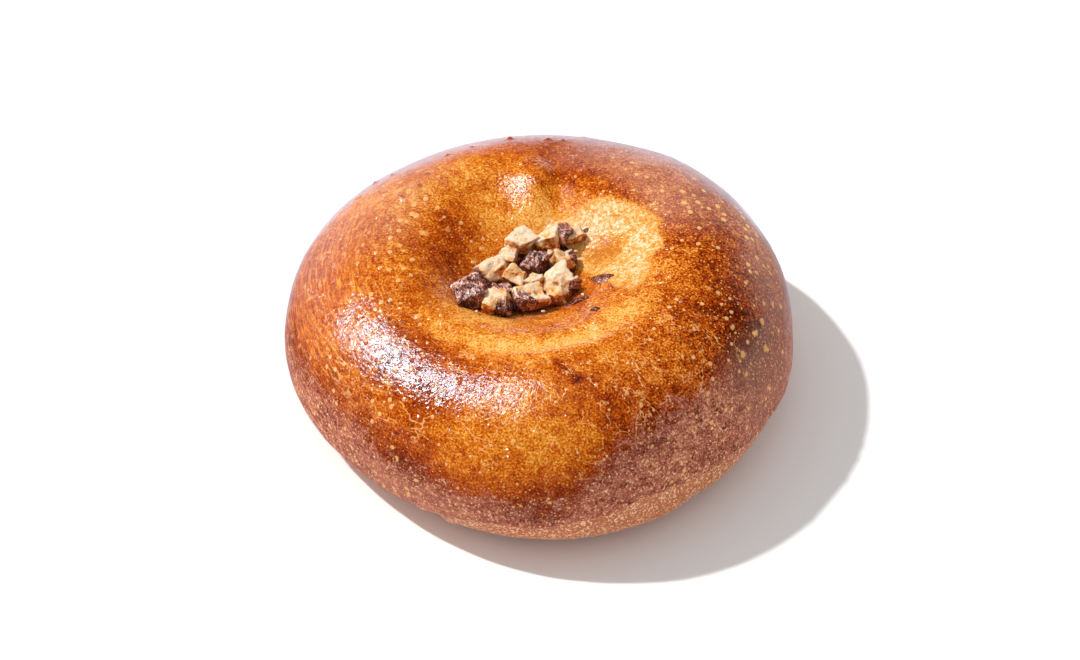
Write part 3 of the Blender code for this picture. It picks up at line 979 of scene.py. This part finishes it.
walnutLooks = {
    "flesh": [
        (0.0, (0.80, 0.60, 0.41)),
        (0.25, (0.79, 0.49, 0.25)),
        (0.5, (0.84, 0.37, 0.09)),
        (0.75, (0.62, 0.19, 0.03)),
        (1.0, (0.26, 0.055, 0.010)),
    ],
    "skin": [
        (0.0, (0.66, 0.36, 0.24)),
        (0.3, (0.38, 0.125, 0.07)),
        (0.55, (0.18, 0.036, 0.018)),
        (0.8, (0.06, 0.010, 0.005)),
        (1.0, (0.02, 0.003, 0.002)),
    ],
    "dust": (0.88, 0.72, 0.60, 1),
    "fleshRoughness": 0.6,
    "skinRoughness": 0.5,
    "surface": {"Coat Roughness": 0.1, "Specular IOR Level": 0.15},
}


def walnutMaterial():
    # kernel, skin and dust by the marks and noise, with the skin oilier
    looks = walnutLooks
    nut = newMaterial("choppedWalnut")
    broad = nut.unevenness(2.2, 3, 0.55)
    grain = nut.unevenness(0.42, 3, 0.65)
    blotch = nut.unevenness(1.1, 3, 0.65, 0.8)
    lumps = nut.unevenness(0.9, 2, 0.6, 0.5)
    paintedLowShade = nut.mark("paintedLowShade")
    side = nut.fade(nut.mark("upward"), 0.8, 0.0)
    edge = nut.fade(nut.mark("edge"), 0.05, 0.3)

    # the broken kernel is browner on its sides, partly painted shade, darker with painted shade low down,
    # and paler on its edges
    tone = nut.scaleAdd(nut.mark("pieceTone"), 0.5, -0.05)
    tone = nut.addShares(tone, (grain, 1.3), (broad, 1.8), (blotch, 1.6))
    tone = nut.addShares(tone, (paintedLowShade, 0.35), (side, 0.55), (edge, -0.25))
    # the skin is dark with paler veins, and has painted shade low down
    veins = nut.calculate("ABSOLUTE", nut.unevenness(2.1, 2, 0.6, 1.2))
    skinTone = nut.fade(veins, 0.0, 0.07, 0.15, 0.7)
    skinTone = nut.addShares(skinTone, (grain, 0.7), (lumps, 1.4), (broad, 1.5), (paintedLowShade, 0.3), (edge, -0.4))
    skin = nut.fade(nut.addShares(nut.mark("skin"), (grain, 0.6), (broad, 1.0)), -0.03, 0.04)
    colour = nut.mix(skin, nut.ramp(tone, looks["flesh"]), nut.ramp(skinTone, looks["skin"]))
    # pale dust where the broken edges rubbed off, on what lies high and on the edges
    speck = nut.addShares(nut.noise(0.5, 3, 0.7, 0.4), (side, -0.07), (edge, 0.16))
    dust = nut.multiply(nut.fade(speck, 0.58, 0.68), nut.scaleAdd(paintedLowShade, -0.9, 0.9))

    oily = nut.addShares(0.12, (skin, 0.45), (side, 0.35))
    height = nut.multiply(nut.scaleAdd(skin, -0.6, 1.0), grain)
    height = nut.addShares(height, (nut.multiply(skin, lumps), -1.4), (blotch, 0.8), (dust, 0.15))
    bump = nut.bump(height, 0.22)
    surface = {
        "Base Color": nut.mix(dust, colour, looks["dust"]),
        "Roughness": nut.between(skin, looks["fleshRoughness"], looks["skinRoughness"]),
        "Coat Weight": nut.multiply(oily, nut.scaleAdd(dust, -0.9, 1.0), nut.scaleAdd(paintedLowShade, -0.7, 1.0)),
        "Normal": bump,
        "Coat Normal": bump,
    }
    nut.plug(nut.surface, {**looks["surface"], **surface})
    return nut.owner


walnut = buildWalnut()
walnutFinish = walnutMaterial()
walnut.data.materials.append(walnutFinish)
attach(walnut, "root")
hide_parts("walnut_heap")
print("walnut pieces made:", len(walnut.data.polygons), "faces")

walnutCore = {
    "radii": (12.6, 8.4),
    "thickness": 2.0,
    "underside": 0.6,
    "clearance": 0.15,
    "crumbs": (1.6, 1.2, 0.7),  # spacing, radius and height
    "sides": 96,
    "rings": 36,
}


def onHollow(cx, cy, along, across, degrees):
    # places along and across a turned direction, from a middle
    turn = math.radians(degrees)
    x = cx + along * math.cos(turn) - across * math.sin(turn)
    y = cy + along * math.sin(turn) + across * math.cos(turn)
    return np.stack((x, y, topHeight(x, y)), axis=-1)


def buildWalnutCore():
    # a thin oval cushion on the hollow's surface, under the pieces, with an uneven crumbly top; its marks
    # paint it dark as shade in the gaps
    values = walnutCore
    hollow = bunForm["hollow"]
    directions = unitSphere(values["sides"], values["rings"])
    along, across, rise = (directions * np.array([*values["radii"], 1])).T
    points = onHollow(*hollow["centre"], along, across, hollow["turn"])
    thickness = np.where(rise > 0, values["thickness"], values["underside"])
    points[:, 2] += values["clearance"] + thickness * rise
    spacing, reach, height = values["crumbs"]
    points[:, 2] += height * blisterNoise(points, spacing, reach, 81) * (rise > 0.2)
    return joinPieces("walnutCore", [(points, 0.5, 0.9, 1.0)], values["sides"], values["rings"])


core = buildWalnutCore()
core.data.materials.append(walnutFinish)
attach(core, "root")
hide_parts("walnut_heap")
print("walnut core made")

# Small crumbs between the pieces and beside them: x, y, height above the hollow, size
walnutCrumbs = [
    (2.3, 5.8, 3.2, 2.0), (-1.6, 6.0, 1.8, 1.3), (7.6, 6.9, 1.0, 1.0), (-9.6, 5.0, 1.0, 1.1),
    (-2.4, -4.6, 2.6, 1.5), (-4.8, -7.2, 2.6, 1.2), (-10.6, -5.6, 1.8, 1.5), (7.6, -0.9, 1.3, 1.1),
    (1.6, -4.3, 2.4, 1.4), (0.9, -11.8, 0.5, 0.9), (-12.4, -13.2, 0.4, 0.8), (8.8, -7.3, 0.4, 0.8),
]
crumbShape = {"sides": 14, "rings": 9, "shares": (0.7, 0.6)}  # width and height, by the size


def buildCrumbs():
    # uneven pebbles: the chopped pieces' form, some five times smaller
    values = crumbShape
    blockDice = random.Random(21)
    detailDice = np.random.default_rng(22)
    directions = unitSphere(values["sides"], values["rings"])
    parts = []
    for x, y, lift, size in walnutCrumbs:
        width, height = (size * share for share in values["shares"])
        reach = choppedReach(directions, *cutPlanes(size, width, height, blockDice), detailDice)
        turn = blockDice.uniform(0, math.tau)
        _, points = placeBlock(directions, reach, (0, 0, turn), x, y, lift)
        parts.append((points, -0.5, blockDice.uniform(0.1, 0.5), 0.1))
    return joinPieces("walnutCrumbs", parts, values["sides"], values["rings"])


crumbs = buildCrumbs()
crumbs.data.materials.append(walnutFinish)
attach(crumbs, "root")
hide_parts("walnut_heap")
print("walnut crumbs made")

# Flakes of walnut skin baked on to the crust beside the hollow: x, y, two radii, turn
skinFlakes = [
    (12.9, -2.4, 2.4, 1.5, -20),
    (7.6, -8.6, 2.2, 1.0, 28),
    (11.2, -13.6, 1.0, 0.6, 10),
    (9.4, 11.8, 0.9, 0.5, 20),
]
flakeShape = {"sides": 44, "rings": 12, "thickness": 0.42, "raggedness": 0.35, "unevenness": 0.35}


def buildFlakes():
    # flat ragged ovals on the crust: radius * (1 + noise), and a low uneven top
    values = flakeShape
    directions = unitSphere(values["sides"], values["rings"])
    level = directions * np.array([1, 1, 0])
    rise = directions[:, 2]
    parts = []
    for cx, cy, longRadius, shortRadius, degrees in skinFlakes:
        ragged = 1 + values["raggedness"] * latticeNoise(level + np.array([cx, cy, 0]), 0.7, 91)
        along, across = (level * ragged[:, None]).T[:2]
        points = onHollow(cx, cy, longRadius * along, shortRadius * across, degrees)
        uneven = values["unevenness"] * latticeNoise(points, 0.8, 92) * (rise > 0)
        points[:, 2] += values["thickness"] * (rise + uneven) - bunSurface["inset"]
        parts.append((points, 0.6, 0.8, 0.6))
    return joinPieces("skinFlakes", parts, values["sides"], values["rings"])


flakes = buildFlakes()
flakes.data.materials.append(walnutFinish)
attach(flakes, "root")
print("skin flakes made")

studio = {
    "floorSize": 1.6,
    "floorLooks": {"Base Color": (0.9, 0.895, 0.89, 1), "Roughness": 0.9, "Specular IOR Level": 0.1},
    "sunDirection": (-0.769, 0.272, 1),
    "sunStrength": 3.0,
    "sunWidth": 2.5,
    "fill": 0.64,  # soft light from all round
    # what the glaze mirrors in a dark room: azimuth and height of its middle, its outer and inner edge from
    # there, all in degrees, and its brightness
    "roomLevel": 0.05,
    "mirrored": [
        (170, 29, 15, 7, 18.0),  # long soft lamp on the left: low end
        (172, 46, 20, 10, 32.0),  # middle
        (190, 42, 13, 7, 20.0),  # its side
        (198, 62, 14, 7, 16.0),  # high end
        (222, 56, 10, 4, 7.0),  # and its corners
        (172, 73, 11, 5, 18.0),
        (142, 0, 32, 10, 1.1),  # white wall behind on the left
        (125, 30, 30, 10, 0.3),  # its upper part
        (200, 80, 40, 10, 0.3),  # ceiling
    ],
    "horizonTop": (0.06, 0.32),
    "horizonSides": (0.35, 0.75),
    "horizonLevel": 1.7,
    "mirroredTint": (0.86, 0.99, 1.1, 1),
    "cameraRise": 44.14,  # degrees
    "cameraDistance": 0.8,  # metres
    "sensorWidth": 36,
    "pictureWidth": 1080,  # pixels
    "pixelsPerMetre": 4878,  # at the bun's middle
    "aimShift": (1.25, 2.5),  # pixels
    "aimHeight": 0.015,  # metres
}


def makeFloor():
    # a pale square that the bun lies on
    half = studio["floorSize"]
    corners = np.array([(-half, -half, 0), (half, -half, 0), (half, half, 0), (-half, half, 0)]) / toMetres
    floor = makePiece("floor", corners, np.array([[0, 1, 2, 3]]), np.zeros((0, 3), dtype=int))
    pale = newMaterial("paleFloor")
    pale.plug(pale.surface, studio["floorLooks"])
    floor.data.materials.append(pale.owner)


def makeLight():
    # a soft sun casts the shadow; the glaze doesn't mirror it
    sun = bpy.data.lights.new("key", "SUN")
    sun.energy = studio["sunStrength"]
    sun.angle = math.radians(studio["sunWidth"])
    lamp = bpy.data.objects.new("key", sun)
    lamp.rotation_euler = Vector(studio["sunDirection"]).to_track_quat("Z", "Y").to_euler()
    lamp.visible_glossy = False
    bpy.context.scene.collection.objects.link(lamp)


def makeRoom():
    # even soft light from all round; the glaze mirrors a dark room, a pale horizon, a wall and a soft lamp
    world = bpy.data.worlds.new("softStudio")
    room = Nodes(world)
    direction = room.output("TexCoord", {}, "Generated")
    parts = room.node("SeparateXYZ", {0: direction}).outputs
    sides = room.fade(parts["Y"], *studio["horizonSides"])
    horizon = room.multiply(sides, room.fade(parts["Z"], *studio["horizonTop"], 1.0, 0.0))
    mirrored = room.scaleAdd(horizon, studio["horizonLevel"], studio["roomLevel"])
    for azimuth, rise, outer, inner, brightness in studio["mirrored"]:
        middle = Euler((0, -math.radians(rise), math.radians(azimuth))).to_matrix() @ Vector((1, 0, 0))
        towards = room.vector("DOT_PRODUCT", direction, tuple(middle), socket="Value")
        edges = [math.cos(math.radians(angle)) for angle in (outer, inner)]
        mirrored = room.scaleAdd(room.fade(towards, *edges), brightness, mirrored)
    glossy = room.output("LightPath", {}, "Is Glossy Ray")
    level = room.output("Mix", {0: glossy, 2: studio["fill"], 3: mirrored})
    tint = room.mix(glossy, (1, 1, 1, 1), studio["mirroredTint"])
    room.plug(room.tree.nodes["Background"], {"Color": tint, "Strength": level})
    bpy.context.scene.world = world


def makeCamera():
    # focal length = sensor's width * distance / width of the view
    rise = math.radians(studio["cameraRise"])
    upwards = Vector((0, math.sin(rise), math.cos(rise)))
    right, up = (pixels / studio["pixelsPerMetre"] for pixels in studio["aimShift"])
    aim = Vector((right, 0, studio["aimHeight"])) + upwards * up
    lens = bpy.data.cameras.new("camera")
    lens.sensor_width = studio["sensorWidth"]
    viewWidth = studio["pictureWidth"] / studio["pixelsPerMetre"]
    lens.lens = studio["sensorWidth"] * studio["cameraDistance"] / viewWidth
    lens.clip_start = 0.01
    lens.clip_end = 10
    camera = bpy.data.objects.new("camera", lens)
    camera.location = aim + studio["cameraDistance"] * Vector((0, -math.cos(rise), math.sin(rise)))
    camera.rotation_euler = (math.radians(90) - rise, 0, 0)
    bpy.context.scene.collection.objects.link(camera)
    bpy.context.scene.camera = camera


makeFloor()
makeLight()
makeRoom()
makeCamera()
bpy.context.scene.view_settings.view_transform = "Standard"
print("floor, light and camera made")
